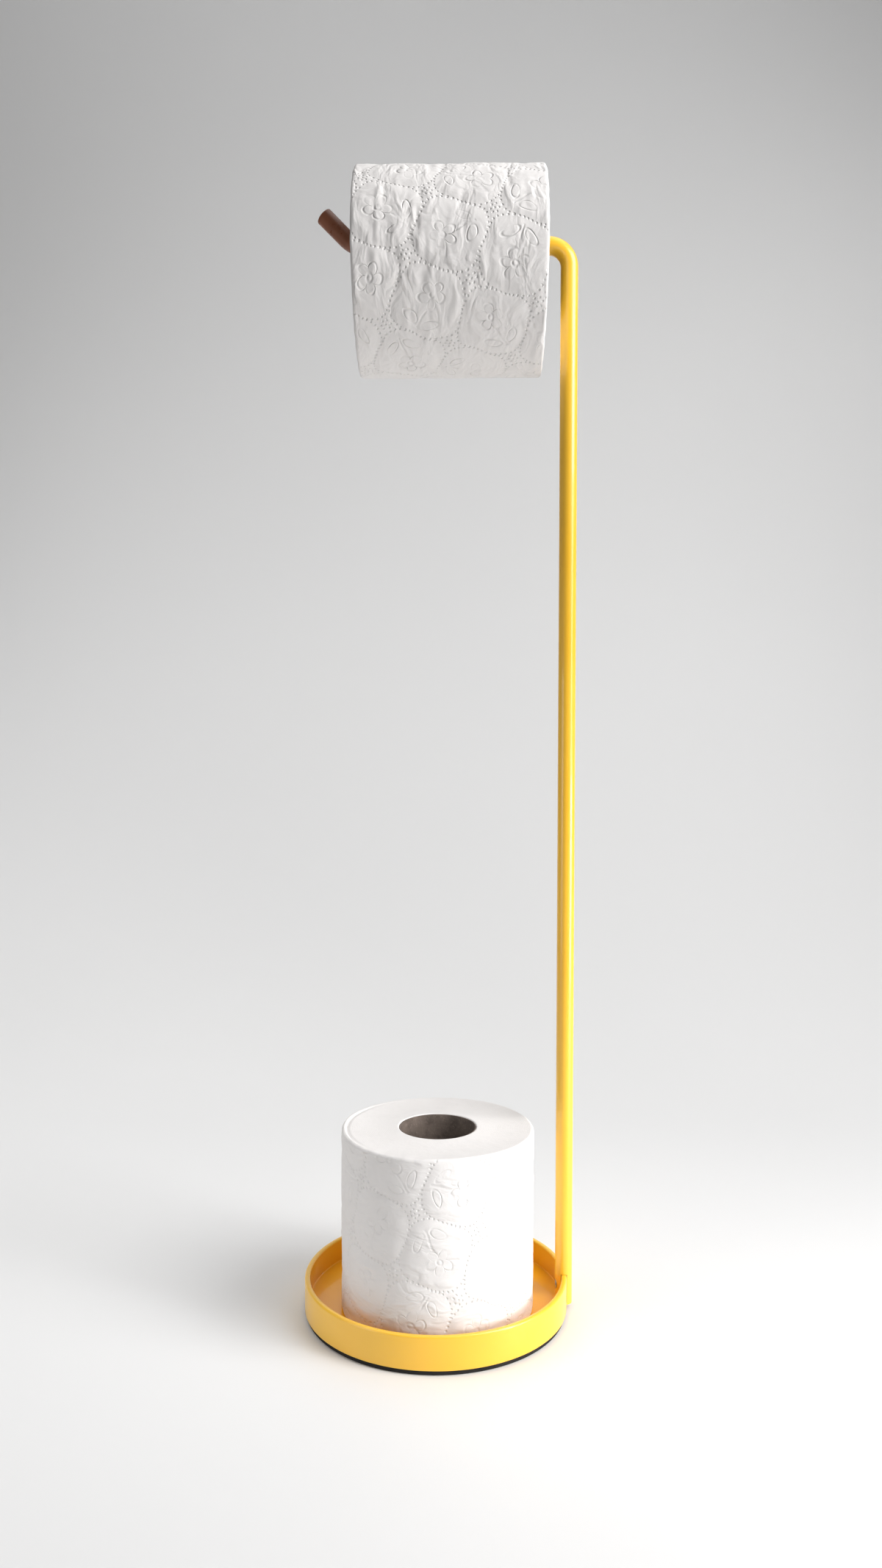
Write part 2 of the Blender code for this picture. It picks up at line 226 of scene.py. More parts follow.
class StageSettings(bpy.types.PropertyGroup):
    """The camera, the lights and the plain floor."""

    camera_place: FloatVectorProperty(
        name="Camera", description="Where the camera stands", subtype="XYZ",
        default=(0.01215, -0.61352, 0.30529), precision=4)
    yaw: turning("Yaw", "Turn to the right", -0.02071)
    pitch: turning("Pitch", "Tilt downwards", 0.04779)
    roll: turning("Roll", "Turn about the view", 0.00045)
    focal_pixels: number("Focal Length", "In pixels of the 2133 pixel frame", 1559.9)
    centre_right: number("Centre Right", "The lens's centre, pixels right of the middle", -8.2)
    centre_down: number("Centre Down", "The lens's centre, pixels below the middle", 24.3)
    window_power: number("Window", "Power of the tall narrow light on the right", 3.9)
    key_power: number("Key", "Power of the light above on the right", 8.0)
    foot_power: number("Foot", "Power of the low light on the right", 0.4)
    left_power: number("Left", "Power of the low light on the left", 0.25)
    floor_power: number("Floor Light", "Power of the light on the floor's left", 0.6)
    back_left_power: number("Back Left", "Power of the backdrop's light from the left", 1.15)
    back_right_power: number("Back Right", "Power of the backdrop's light from the right", 0.75)
    top_power: number("Top", "Power of the wide light overhead", 9.3)
    sky: number("Sky", "Strength of the light all round", 0.09)
    floor: colour("Floor", "Colour of the floor", (0.82, 0.818, 0.816))


def settings():
    """Return the scene's settings."""
    return bpy.context.scene.holder_settings


# Meshes


def put_in_scene(name, data):
    """Make an object of a mesh, curve, light or camera in the scene."""
    thing = bpy.data.objects.new(name, data)
    bpy.context.scene.collection.objects.link(thing)
    return thing


def link_piece(name, mesh, make_material, body, replaced=()):
    """Link a finished mesh as a piece that rides on a body and stands for CAD nodes."""
    piece = put_in_scene(name, mesh)
    mesh.materials.clear()
    mesh.materials.append(find_material(make_material))
    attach(piece, body)
    if replaced:
        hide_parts(*replaced)


def mesh_from(name, shape):
    """Merge a bmesh's doubles, turn its faces outwards and return it as a smooth mesh."""
    bmesh.ops.remove_doubles(shape, verts=shape.verts, dist=MERGE_DISTANCE)
    bmesh.ops.recalc_face_normals(shape, faces=shape.faces)
    mesh = bpy.data.meshes.new(name)
    shape.to_mesh(mesh)
    shape.free()
    mesh.shade_smooth()
    mesh.set_sharp_from_angle(angle=SHARP_ANGLE)
    return mesh


def quarter_turn(steps):
    """Return the angles of a quarter turn taken in steps."""
    return [QUARTER * step / steps for step in range(steps + 1)]


def arc_corners(outline, steps=6):
    """Return an outline's points with its right-angled corners rounded.

    Each corner is (radius, height, rounding), in the order in which the outline runs.
    """
    points = []
    for index, (radius, height, rounding) in enumerate(outline):
        corner = Vector((radius, height))
        if rounding == 0:
            points.append(corner)
            continue
        back = (Vector(outline[index - 1][:2]) - corner).normalized() * rounding
        ahead = (Vector(outline[(index + 1) % len(outline)][:2]) - corner).normalized() * rounding
        for turn in quarter_turn(steps):
            points.append(corner + back + ahead - ahead * cos(turn) - back * sin(turn))
    return points


def turn_outline(name, outline, steps, closed=True):
    """Turn an outline of (radius, height) points about Z; an open one gets flat ends."""
    shape = bmesh.new()
    verts = [shape.verts.new((radius, 0, height)) for radius, height in outline]
    edges = [shape.edges.new(pair) for pair in zip(verts, verts[1:])]
    if closed:
        edges.append(shape.edges.new((verts[-1], verts[0])))
    bmesh.ops.spin(shape, geom=verts + edges, cent=(0, 0, 0), axis=UP, angle=tau,
                   steps=steps, use_merge=True)
    if not closed:
        bmesh.ops.holes_fill(shape, edges=shape.edges)
    return mesh_from(name, shape)


def round_tube(name, outer, inner, low, high, roundings, sides, arc_steps=6):
    """Return an upright tube with its lower and upper edges rounded."""
    foot, rim = roundings
    outline = [(outer, low, foot), (outer, high, rim), (inner, high, rim), (inner, low, foot)]
    return turn_outline(name, arc_corners(outline, arc_steps), sides)


def take_result(holder, name):
    """Return what an object's modifiers make as a plain mesh, and drop the object."""
    bpy.context.view_layer.update()
    evaluated = holder.evaluated_get(bpy.context.evaluated_depsgraph_get())
    shape = bmesh.new()
    shape.from_mesh(bpy.data.meshes.new_from_object(evaluated))
    bpy.data.objects.remove(holder)
    return mesh_from(name, shape)


def modified(mesh, kind, **values):
    """Return a mesh as a modifier with these values makes it."""
    holder = put_in_scene(mesh.name + "_holder", mesh)
    modifier = holder.modifiers.new(kind.lower(), kind)
    for label, value in values.items():
        setattr(modifier, label, value)
    return take_result(holder, mesh.name)


def carve(mesh, cutter):
    """Return a mesh with another mesh's shape cut out of it."""
    tool = put_in_scene(cutter.name + "_tool", cutter)
    result = modified(mesh, "BOOLEAN", operation="DIFFERENCE", solver="EXACT", object=tool)
    bpy.data.objects.remove(tool)
    return result


def stand_along_x(mesh, place):
    """Lay a mesh made along Z along X instead, with its top towards -X."""
    mesh.transform(Matrix.Translation(place) @ Matrix.Rotation(-QUARTER, 4, "Y"))
    return mesh


# Node trees


def sum_of(operation, swapped=False):
    """Return a method that places a Math node for an operator."""
    def method(self, other):
        values = (other, self) if swapped else (self, other)
        return self.nodes.maths(operation, *values)
    return method


class Field:
    """A node's output, with which sums are written as with a number."""

    def __init__(self, nodes, socket):
        self.nodes = nodes
        self.socket = socket

    def __abs__(self):
        return self.nodes.maths("ABSOLUTE", self)

    __add__ = sum_of("ADD")
    __sub__ = sum_of("SUBTRACT")
    __rsub__ = sum_of("SUBTRACT", True)
    __mul__ = sum_of("MULTIPLY")
    __truediv__ = sum_of("DIVIDE")
    __rtruediv__ = sum_of("DIVIDE", True)
    __pow__ = sum_of("POWER")


class Nodes:
    """A short way to place and join the nodes of a tree."""

    def __init__(self, tree):
        self.tree = tree

    def feed(self, socket, value):
        """Set a socket, or link a field to it."""
        if isinstance(value, Field):
            self.tree.links.new(value.socket, socket)
        else:
            socket.default_value = value

    def place(self, kind, **values):
        """Place a node; its values are set or linked by the socket's or setting's name."""
        node = self.tree.nodes.new(kind)
        for label, value in values.items():
            socket = node.inputs.get(label.replace("_", " "))
            if socket is None:
                setattr(node, label, value)
            else:
                self.feed(socket, value)
        return node

    def put(self, kind, **values):
        """Place a node and return its results by name."""
        node = self.place(kind, **values)
        return {socket.name: Field(self, socket) for socket in node.outputs}

    def group(self, name, **values):
        """Place a shared group with this material's own values and return its results."""
        return self.put("ShaderNodeGroup", node_tree=bpy.data.node_groups[name], **values)

    def maths(self, operation, *values, kind="ShaderNodeMath"):
        """Place a Math node, or one for vectors, and return its result."""
        node = self.place(kind, operation=operation)
        for socket, value in zip(node.inputs, values):
            self.feed(socket, value)
        return Field(self, node.outputs[0])

    def noise(self, position, scale, **values):
        """Place a noise texture and return its results."""
        return self.put("ShaderNodeTexNoise", Vector=position, Scale=scale, **values)

    def ramp(self, value, low, high, start=0.0, end=1.0):
        """Map a value from low..high to start..end, smoothly and without overshoot."""
        return self.put("ShaderNodeMapRange", interpolation_type="SMOOTHSTEP", Value=value,
                        From_Min=low, From_Max=high, To_Min=start, To_Max=end)["Result"]

    def reach(self, x, y):
        """Return how far a point lies from the origin."""
        return self.maths("SQRT", x * x + y * y)

    def turned(self, position, angle):
        """Return a position turned about Z, as its X and Y."""
        spot = self.put("ShaderNodeVectorRotate", rotation_type="Z_AXIS", Vector=position,
                        Angle=angle)
        spot = self.put("ShaderNodeSeparateXYZ", Vector=spot["Vector"])
        return spot["X"], spot["Y"]

    def snapped(self, x, y, count):
        """Return the cosine and sine of a point's direction, moved to one of count directions."""
        turns = self.maths("ARCTAN2", y, x) / tau
        angle = self.maths("ROUND", turns * count) / count * tau
        return self.maths("COSINE", angle), self.maths("SINE", angle)

    def sweep(self, line, section):
        """Sweep a section along a line, close its ends and return the mesh."""
        return self.put("GeometryNodeCurveToMesh", Curve=line, Profile_Curve=section,
                        Fill_Caps=True)["Mesh"]

    def mix(self, factor, first, second):
        """Mix two colours, each a field or three channels."""
        node = self.place("ShaderNodeMix", data_type="RGBA", Factor=factor)
        sockets = [socket for socket in node.inputs if socket.type == "RGBA"]
        for socket, value in zip(sockets, (first, second)):
            self.feed(socket, value if isinstance(value, Field) else (*value, 1))
        return Field(self, [socket for socket in node.outputs if socket.type == "RGBA"][0])

    def dress(self, relief=None, strength=0.0, depth=0.0, **values):
        """Feed the material's shader, and its normal from a height."""
        if relief is not None:
            values["Normal"] = self.put("ShaderNodeBump", Strength=strength, Distance=depth,
                                        Height=relief)["Normal"]
        shader = self.tree.nodes["Principled BSDF"]
        for label, value in values.items():
            self.feed(shader.inputs[label.replace("_", " ")], value)


def node_group(kind, name, inputs, outputs):
    """Start a node group; return its nodes and what it is given, by name.

    Each socket is given as its type or, for a number, as its default.
    """
    tree = bpy.data.node_groups.new(name, kind)
    for way, sockets in (("INPUT", inputs), ("OUTPUT", outputs)):
        for label, value in sockets.items():
            socket_type = value if isinstance(value, str) else "Float"
            socket = tree.interface.new_socket(label.replace("_", " "), in_out=way,
                                               socket_type="NodeSocket" + socket_type)
            if value != socket_type:
                socket.default_value = value
    nodes = Nodes(tree)
    return nodes, nodes.put("NodeGroupInput")


def shader_group(name, outputs, **inputs):
    """Start a shader group whose outputs are all numbers."""
    return node_group("ShaderNodeTree", name, inputs, dict.fromkeys(outputs, "Float"))


def geometry_tree(name, **inputs):
    """Start a geometry node tree that is given a geometry, its own inputs and a material."""
    inputs = {"Geometry": "Geometry", **inputs, "Material": "Material"}
    return node_group("GeometryNodeTree", name, inputs, {"Geometry": "Geometry"})


def finish_tree(nodes, geometry, material):
    """End a geometry tree in Realize Instances, smooth shading and Set Material."""
    for kind in ("GeometryNodeRealizeInstances", "GeometryNodeSetShadeSmooth"):
        geometry = nodes.put(kind, Geometry=geometry)["Geometry"]
    painted = nodes.put("GeometryNodeSetMaterial", Geometry=geometry, Material=material)
    nodes.place("NodeGroupOutput", Geometry=painted["Geometry"])
    return nodes.tree


def apply_tree(holder, name, tree, **values):
    """Run a tree on an object with its inputs set by name, and return the mesh."""
    modifier = holder.modifiers.new(tree.name, "NODES")
    modifier.node_group = tree
    for item in tree.interface.items_tree:
        label = item.name.replace(" ", "_")
        if item.in_out == "INPUT" and label in values:
            modifier[item.identifier] = values[label]
    return take_result(holder, name)


def bent_bar_tree():
    """Sweep a round section along a line of corners and round its bends."""
    nodes, given = geometry_tree("Bent Bar", Bar_Radius="Float", Bend="Float",
                                 Bend_Steps="Int", Sides="Int")
    line = nodes.put("GeometryNodeFilletCurve", mode="POLY", Curve=given["Geometry"],
                     Count=given["Bend Steps"], Radius=given["Bend"])["Curve"]
    section = nodes.put("GeometryNodeCurvePrimitiveCircle", Resolution=given["Sides"],
                        Radius=given["Bar Radius"])["Curve"]
    return finish_tree(nodes, nodes.sweep(line, section), given["Material"])


def ply_seam_tree():
    """Wind a thin strip up the inside of a tube, as the edge of its wound ply."""
    nodes, given = geometry_tree("Ply Seam", Bore="Float", Length="Float", Turns="Float",
                                 Strip_Width="Float", Strip_Height="Float",
                                 Centre="Vector", Tilt="Vector")
    spiral = nodes.put("GeometryNodeCurveSpiral", Resolution=96, Start_Radius=given["Bore"],
                       End_Radius=given["Bore"], Rotations=given["Turns"],
                       Height=given["Length"])["Curve"]
    section = nodes.put("GeometryNodeCurvePrimitiveQuadrilateral", Width=given["Strip Height"],
                        Height=given["Strip Width"])["Curve"]
    drop = nodes.put("ShaderNodeCombineXYZ", Z=given["Length"] * -0.5)["Vector"]
    lowered = nodes.put("GeometryNodeTransform", Geometry=nodes.sweep(spiral, section),
                        Translation=drop)
    placed = nodes.put("GeometryNodeTransform", Geometry=lowered["Geometry"],
                       Translation=given["Centre"], Rotation=given["Tilt"])
    return finish_tree(nodes, placed["Geometry"], given["Material"])


# Shader groups


def handled_surface_group():
    """Faint smears, dust and pores, as on anything that is handled and wiped."""
    nodes, given = shader_group(
        "Handled Surface", ("Roughness", "Height", "Smear"), Position="Vector",
        Smear_Size=40.0, Pore_Size=900.0, Low_Roughness=0.1, High_Roughness=0.2)
    smear = nodes.noise(given["Position"], given["Smear Size"], Detail=4.0, Roughness=0.6)["Fac"]
    pores = nodes.noise(given["Position"], given["Pore Size"], Detail=2.0, Roughness=0.5)["Fac"]
    least, most = 0.35, 0.70
    nodes.place("NodeGroupOutput", Height=pores, Smear=nodes.ramp(smear, least, most),
                Roughness=nodes.ramp(smear, least, most, given["Low Roughness"],
                                     given["High Roughness"]))


def pressed_fibre_group():
    """Short tangled fibres, for cardboard and paper."""
    nodes, given = shader_group("Pressed Fibre", ("Fibre", "Cloud"), Position="Vector",
                                Fibre_Size=700.0, Cloud_Size=60.0)
    sway = (0.004,) * 3
    bend = nodes.noise(given["Position"], given["Cloud Size"], Detail=3.0, Roughness=0.6)
    wander = nodes.maths("MULTIPLY_ADD", bend["Color"], sway, given["Position"], kind=VECTORS)
    fibre = nodes.noise(wander, given["Fibre Size"], Detail=5.0, Roughness=0.75)
    nodes.place("NodeGroupOutput", Fibre=fibre["Fac"], Cloud=bend["Fac"])


def embossed_sheet_group():
    """Rounded cells of dots on a turned lattice, with blossoms in them and rosettes between.

    Sheet is a position on the unrolled paper in metres: X round the roll, Y across it.
    """
    nodes, given = shader_group(
        "Embossed Sheet", ("Dots", "Blossoms"), Sheet="Vector", Cell_Size=0.034,
        Lattice_Turn=0.32, Cells_Shifted=3.0, Cell_Squareness=3.0, Dots_per_Cell=48.0,
        Dot_Radius=0.00082, Blossom_Radius=0.0070, Stroke=0.0005)
    maths, reach = nodes.maths, nodes.reach
    size, power, radius = given["Cell Size"], given["Cell Squareness"], given["Blossom Radius"]
    x, y = nodes.turned(given["Sheet"], given["Lattice Turn"])
    along, up = x / size, y / size
    column, row = maths("FLOOR", along), maths("FLOOR", up)
    x, y = (along - column - 0.5) * size, (up - row - 0.5) * size

    # the dots round the cell lie on a rounded square
    cosine, sine = nodes.snapped(x, y, given["Dots per Cell"])
    spread = maths("ADD", abs(cosine) ** power, abs(sine) ** power) ** (1.0 / power)
    outline = size * 0.5 / spread
    nearest = reach(x - outline * cosine, y - outline * sine)

    # a rosette of dots fills the space where four cells meet
    corner_x = (along - maths("ROUND", along)) * size
    corner_y = (up - maths("ROUND", up)) * size
    cosine, sine = nodes.snapped(corner_x, corner_y, 6.0)
    ring = size * 0.068
    for dot in (reach(corner_x - ring * cosine, corner_y - ring * sine), reach(corner_x, corner_y)):
        nearest = maths("MINIMUM", nearest, dot)

    # the blossom's turn follows a count that the lattice repeats each time round
    turn = (column - row * given["Cells Shifted"]) * 2.4
    x, y = nodes.turned(nodes.put("ShaderNodeCombineXYZ", X=x, Y=y)["Vector"], turn)

    # five petals, an eye, a stem and a pair of leaves, each drawn as a line
    above = y - radius * 0.55
    far = reach(x, above)
    lobes = abs(maths("COSINE", maths("ARCTAN2", above, x) * 2.5))
    line = abs(far - (maths("SQRT", lobes) * 0.65 + 0.35) * radius)
    eye = abs(far - radius * 0.2)
    stem = maths("MAXIMUM", abs(x), abs(y + radius * 1.2) - radius * 0.7)
    leaf_x, leaf_y = abs(x) - radius * 0.75, y + radius * 1.35
    leaf = reach(leaf_x * 0.8 + leaf_y * 0.6, leaf_y * 1.6 - leaf_x * 1.2)
    for other in (eye, stem, abs(leaf - radius * 0.6)):
        line = maths("MINIMUM", line, other)
    nodes.place("NodeGroupOutput",
                Dots=nodes.ramp(nearest / given["Dot Radius"], 0.2, 1.0, 1.0, 0.0),
                Blossoms=nodes.ramp(line / given["Stroke"], 0.0, 2.1, 1.0, 0.0))


# Materials


def scaled(channels, factor):
    """Return a colour made darker or lighter."""
    return tuple(min(1, channel * factor) for channel in channels)


def new_material(name):
    """Start a material and return it with its nodes and Object coordinates."""
    material = bpy.data.materials.new(FINISH + name)
    material.use_nodes = True
    nodes = Nodes(material.node_tree)
    return material, nodes, nodes.put("ShaderNodeTexCoord")["Object"]


def find_material(make):
    """Return the material that a function makes, made on its first use."""
    return bpy.data.materials.get(FINISH + make.__name__) or make()


def handled(nodes, place, sizes, roughness, strength, depth, **values):
    """Dress a material in faint smears and a fine grain, and return how smeared it is.

    sizes are the scales of its smears and its pores, and roughness its lowest and highest.
    """
    surface = nodes.group("Handled Surface", Position=place, Smear_Size=sizes[0],
                          Pore_Size=sizes[1], Low_Roughness=roughness[0],
                          High_Roughness=roughness[1])
    nodes.dress(surface["Height"], strength, depth, Roughness=surface["Roughness"], **values)
    return surface["Smear"]


def wiped_finish(name, base, change, *grain, **values):
    """Make a material whose colour changes by a factor where it is smeared."""
    material, nodes, place = new_material(name)
    smear = handled(nodes, place, *grain, **values)
    nodes.dress(Base_Color=nodes.mix(smear, base, scaled(base, change)))
    return material


def yellow_lacquer():
    """A sprayed coat with faint orange peel, deeper in random patches where the coat is thicker,
    and deeper orange inside the tray as painted shade.
    """
    looks, tray = settings().looks, settings().tray
    material, nodes, place = new_material("yellow_lacquer")
    cloud = nodes.noise(place, 14.0, Detail=2.0)["Fac"]
    patches = nodes.ramp(cloud, 0.40, 0.72, 0.0, 0.25)
    spot = nodes.put("ShaderNodeSeparateXYZ", Vector=place)
    within = nodes.ramp(nodes.reach(spot["X"], spot["Y"]),
                        RING_HIGH.x - tray.wall, RING_HIGH.x - tray.wall / 2, 1.0, 0.0)
    below = nodes.ramp(spot["Z"], RING_HIGH.z - tray.rim_round, RING_HIGH.z, 1.0, 0.0)
    # random patches of thicker coat, and painted shade over everything inside the tray below its
    # rim
    patches_and_inner_shade = nodes.maths("MAXIMUM", patches, within * below)
    rough = looks.lacquer_roughness
    handled(nodes, place, (26.0, 420.0), (rough * 0.85, rough * 1.15), 0.05, 0.0004,
            Base_Color=nodes.mix(patches_and_inner_shade, looks.lacquer, looks.deep_lacquer_and_shade),
            Coat_Weight=0.45, Coat_Roughness=0.06, Specular_IOR_Level=0.6)
    return material


def brown_sleeve():
    """Satin brown moulded sleeve with a fine grain that lightens where it is touched."""
    return wiped_finish("brown_sleeve", settings().looks.sleeve, 1.35,
                        (90.0, 1500.0), (0.26, 0.38), 0.25, 0.0002)


def black_rubber():
    """Matt black rubber with dust in its pores."""
    return wiped_finish("black_rubber", settings().looks.rubber, 2.0,
                        (60.0, 2200.0), (0.68, 0.86), 0.4, 0.0003, Specular_IOR_Level=0.2)


def screw_steel():
    """Turned steel with dull smears and a fine grain."""
    return wiped_finish("screw_steel", settings().looks.steel, 0.75,
                        (300.0, 4000.0), (0.22, 0.38), 0.2, 0.0001, Metallic=1.0)


def core_cardboard():
    """Grey-brown recycled cardboard with flecks and dark clouds."""
    board = settings().rolls.cardboard
    material, nodes, place = new_material("core_cardboard")
    pressed = nodes.group("Pressed Fibre", Position=place, Fibre_Size=900.0, Cloud_Size=120.0)
    fibre = pressed["Fibre"]
    base = nodes.mix(nodes.ramp(pressed["Cloud"], 0.35, 0.65), scaled(board, 0.62), board)
    nodes.dress(fibre, 0.5, 0.0003, Roughness=nodes.ramp(fibre, 0.3, 0.7, 0.82, 0.95),
                Base_Color=nodes.mix(nodes.ramp(fibre, 0.52, 0.74), base, scaled(board, 1.5)))
    return material


def white_paper():
    """Soft white tissue: dotted lines and blossoms outside, layer edges at the ends."""
    rolls = settings().rolls
    material, nodes, place = new_material("white_paper")
    side, press, winding = (nodes.put("ShaderNodeAttribute", attribute_name=name)["Fac"]
                            for name in ("side", "press", "winding"))
    sheet = nodes.put("ShaderNodeUVMap", uv_map="sheet")["UV"]
    fibre = nodes.group("Pressed Fibre", Position=place, Fibre_Size=1500.0, Cloud_Size=90.0)
    cell_size, lattice_turn = sheet_lattice()

    # the pattern, pulled askew and rubbed faint in places
    wander = nodes.noise(place, 75.0, Detail=1.0)["Color"]
    centred = nodes.maths("SUBTRACT", wander, (0.5,) * 3, kind=VECTORS)
    pulled = nodes.maths("MULTIPLY_ADD", centred, (rolls.pull,) * 3, sheet, kind=VECTORS)
    pattern = nodes.group("Embossed Sheet", Sheet=pulled,
                          Cell_Size=cell_size, Lattice_Turn=lattice_turn,
                          Cells_Shifted=float(rolls.cells_shift), Cell_Squareness=rolls.cell_power,
                          Dots_per_Cell=float(rolls.dots_per_cell))
    rubbed = nodes.ramp(nodes.noise(place, 130.0, Detail=1.0)["Fac"], 0.36, 0.62, 0.12, 0.88)
    blossoms = pattern["Blossoms"] * (rubbed * press)
    pressed = nodes.maths("MAXIMUM", pattern["Dots"] * 0.9, blossoms) * press

    # crumples, drawn out round the roll, with sharp valleys
    drawn_out = nodes.put("ShaderNodeMapping", Vector=sheet, Scale=(0.58, 1.0, 1.0))["Vector"]
    crumple = nodes.noise(drawn_out, 105.0, Detail=2.6, Roughness=0.5, Distortion=0.6)["Fac"]
    fold = crumple * 2.0 - 1.0
    folds = nodes.maths("SQRT", fold * fold + 0.004) * (press * 1.1 + side * 0.35)

    # the ends show the edges of the layers and soft dents
    end = 1.0 - side
    layers = nodes.maths("SINE", winding * tau) * end
    dents = fibre["Cloud"] * end
    height = (fibre["Fibre"] * 0.12 - pressed + layers * 0.03
              + dents * (rolls.crumple * 0.5) + folds * rolls.crumple)

    # random grey clouds in the paper, and painted shade darkening the embossed hollows
    clouds = nodes.ramp(fibre["Cloud"], 0.45, 0.75, 0.0, 0.25)
    cloud_and_hollow_shade = nodes.maths("MAXIMUM", pressed * 0.35, clouds)
    nodes.dress(height, 1.0, rolls.emboss_depth, Specular_IOR_Level=0.25,
                Base_Color=nodes.mix(cloud_and_hollow_shade, rolls.paper, scaled(rolls.paper, 0.90)),
                Roughness=nodes.ramp(fibre["Fibre"], 0.3, 0.7, 0.88, 0.98))
    return material


def pale_floor():
    """A plain pale floor with a very faint unevenness."""
    floor = settings().stage.floor
    material, nodes, place = new_material("pale_floor")
    cloud = nodes.noise(place, 3.0, Detail=3.0)["Fac"]
    nodes.dress(Base_Color=nodes.mix(cloud, floor, scaled(floor, 0.985)),
                Roughness=nodes.ramp(cloud, 0.3, 0.7, 0.5, 0.6))
    return material


# Pieces


def bar_between(name, line, radius, bend, make_material):
    """Return a round bar along a line of corners whose bends are rounded by the node tree."""
    rod = settings().rod
    curve = bpy.data.curves.new(name + "_line", "CURVE")
    curve.dimensions = "3D"
    spline = curve.splines.new("POLY")
    spline.points.add(len(line) - 1)
    for spot, corner in zip(spline.points, line):
        spot.co = (*corner, 1)
    tree = bpy.data.node_groups.get("Bent Bar") or bent_bar_tree()
    return apply_tree(put_in_scene(name + "_line", curve), name, tree, Bar_Radius=radius,
                      Bend=bend, Bend_Steps=rod.bend_steps, Sides=rod.sides,
                      Material=find_material(make_material))


def arm_places():
    """Return the arm's height, its corner, its way up and where the sleeve starts."""
    lean = Vector((-cos(TIP_RISE), 0, sin(TIP_RISE)))
    end_x = SLEEVE_LOW.x + ROD_RADIUS * cos(TIP_RISE)
    arm_z = SLEEVE_LOW.z + ROD_RADIUS
    corner = Vector((end_x - lean.x * settings().rod.tip_from_corner, 0, arm_z))
    return arm_z, corner, lean, Vector((SLEEVE_HIGH.x, 0, arm_z))


def tray_section(growth):
    """Return the tray's section grown all round, which shapes the rod's fork."""
    tray = settings().tray
    outer = RING_HIGH.x + growth
    inner = RING_HIGH.x - tray.wall - growth
    top = RING_HIGH.z + growth
    return [(outer, ROD_LOW.z - tray.wall), (outer, top), (inner, top),
            (inner, PLATE_HIGH.z + growth)]


def screw_section(growth=0):
    """Return the screw's outline from head to tip, or grown, with its head's way in."""
    length = SCREW_HIGH.x - SCREW_LOW.x
    lip = SCREW_HEAD * 0.1
    wide = SCREW_HEAD + growth
    shank = SCREW_HEAD * 0.55 + growth
    head = [(wide - lip, 0), (wide, -lip)]
    if growth:
        head = [(wide, SCREW_HEAD), (wide, SCREW_HEAD * 0.99)]
    return head + [(wide, -2 * lip), (shank, -SCREW_HEAD * 0.56), (shank, lip - length),
                   (shank - lip, -length)]


def screw_hole(name, growth):
    """Return the shape that makes room for the screw."""
    return stand_along_x(turn_outline(name, screw_section(growth), 48, False), SCREW_PLACE)


class HOLDER_OT_tray(bpy.types.Operator):
    """Make the tray's wall, its floor plate and the rubber pad"""

    bl_idname = "holder.tray"
    bl_label = "Tray"

    def execute(self, context):
        tray = settings().tray
        inner = RING_HIGH.x - tray.wall
        ring = round_tube("tray_wall", RING_HIGH.x, inner, RING_LOW.z, RING_HIGH.z,
                          (tray.foot_round, tray.rim_round), tray.steps)
        ring = carve(ring, screw_hole("wall_hole", tray.foot_round))
        link_piece("tray_wall", ring, yellow_lacquer, "stand", ["tray_ring"])

        fillet = tray.paint_fillet
        low, high = PLATE_HIGH.z - fillet, PLATE_HIGH.z + fillet
        outline = [(PLATE_HIGH.x, PLATE_LOW.z), (PLATE_HIGH.x, low), (inner, low)]
        for turn in quarter_turn(8):
            outline.append((inner - fillet + fillet * cos(turn),
                            high - fillet * sin(turn)))
        plate = turn_outline("tray_floor", outline, tray.steps, False)
        link_piece("tray_floor", plate, yellow_lacquer, "stand", ["base_plate"])

        pad = turn_outline("rubber_pad", arc_corners([
            (0, PAD_LOW.z, 0),
            (PAD_HIGH.x, PAD_LOW.z, tray.foot_round),
            (PAD_HIGH.x, PAD_HIGH.z, tray.foot_round),
            (0, PAD_HIGH.z, 0),
        ])[1:-1], tray.steps, False)
        link_piece("rubber_pad", pad, black_rubber, "stand", ["foot_pad"])
        return {"FINISHED"}


class HOLDER_OT_rod(bpy.types.Operator):
    """Make the rod with its forked foot, and the screw that clamps it"""

    bl_idname = "holder.rod"
    bl_label = "Rod and Screw"

    def execute(self, context):
        rod = settings().rod
        arm_z, corner, lean, start = arm_places()
        foot, top = Vector((ROD_X, 0, ROD_LOW.z)), Vector((ROD_X, 0, arm_z))
        shoulder = start + ALONG_ARM * rod.seat_gap
        bar = bar_between("bent_rod", [foot, top, shoulder], ROD_RADIUS, rod.top_bend,
                          yellow_lacquer)
        fork = turn_outline("fork_cutter", tray_section(rod.seat_gap), settings().tray.steps, False)
        bar = carve(carve(bar, fork), screw_hole("fork_hole", rod.seat_gap))
        link_piece("bent_rod", bar, yellow_lacquer, "stand", ["upright_rod"])

        spigot_end = corner + lean * (rod.tip_from_corner - rod.sleeve_end - rod.seat_gap)
        spigot_start = shoulder + ALONG_ARM * ROD_RADIUS / 2
        spigot = bar_between("rod_spigot", [spigot_start, corner, spigot_end],
                             ROD_RADIUS - rod.sleeve_wall - rod.seat_gap, rod.tip_bend,
                             yellow_lacquer)
        link_piece("rod_spigot", spigot, yellow_lacquer, "stand")

        screw = turn_outline("fork_screw_turned", screw_section(), 64, False)
        key_radius = SCREW_HEAD * 0.45
        socket = turn_outline(
            "socket", [(key_radius, SCREW_HEAD), (key_radius, -SCREW_HEAD * 0.3)], 6, False)
        link_piece("turned_screw", stand_along_x(carve(screw, socket), SCREW_PLACE),
                   screw_steel, "stand", ["fork_screw"])
        return {"FINISHED"}


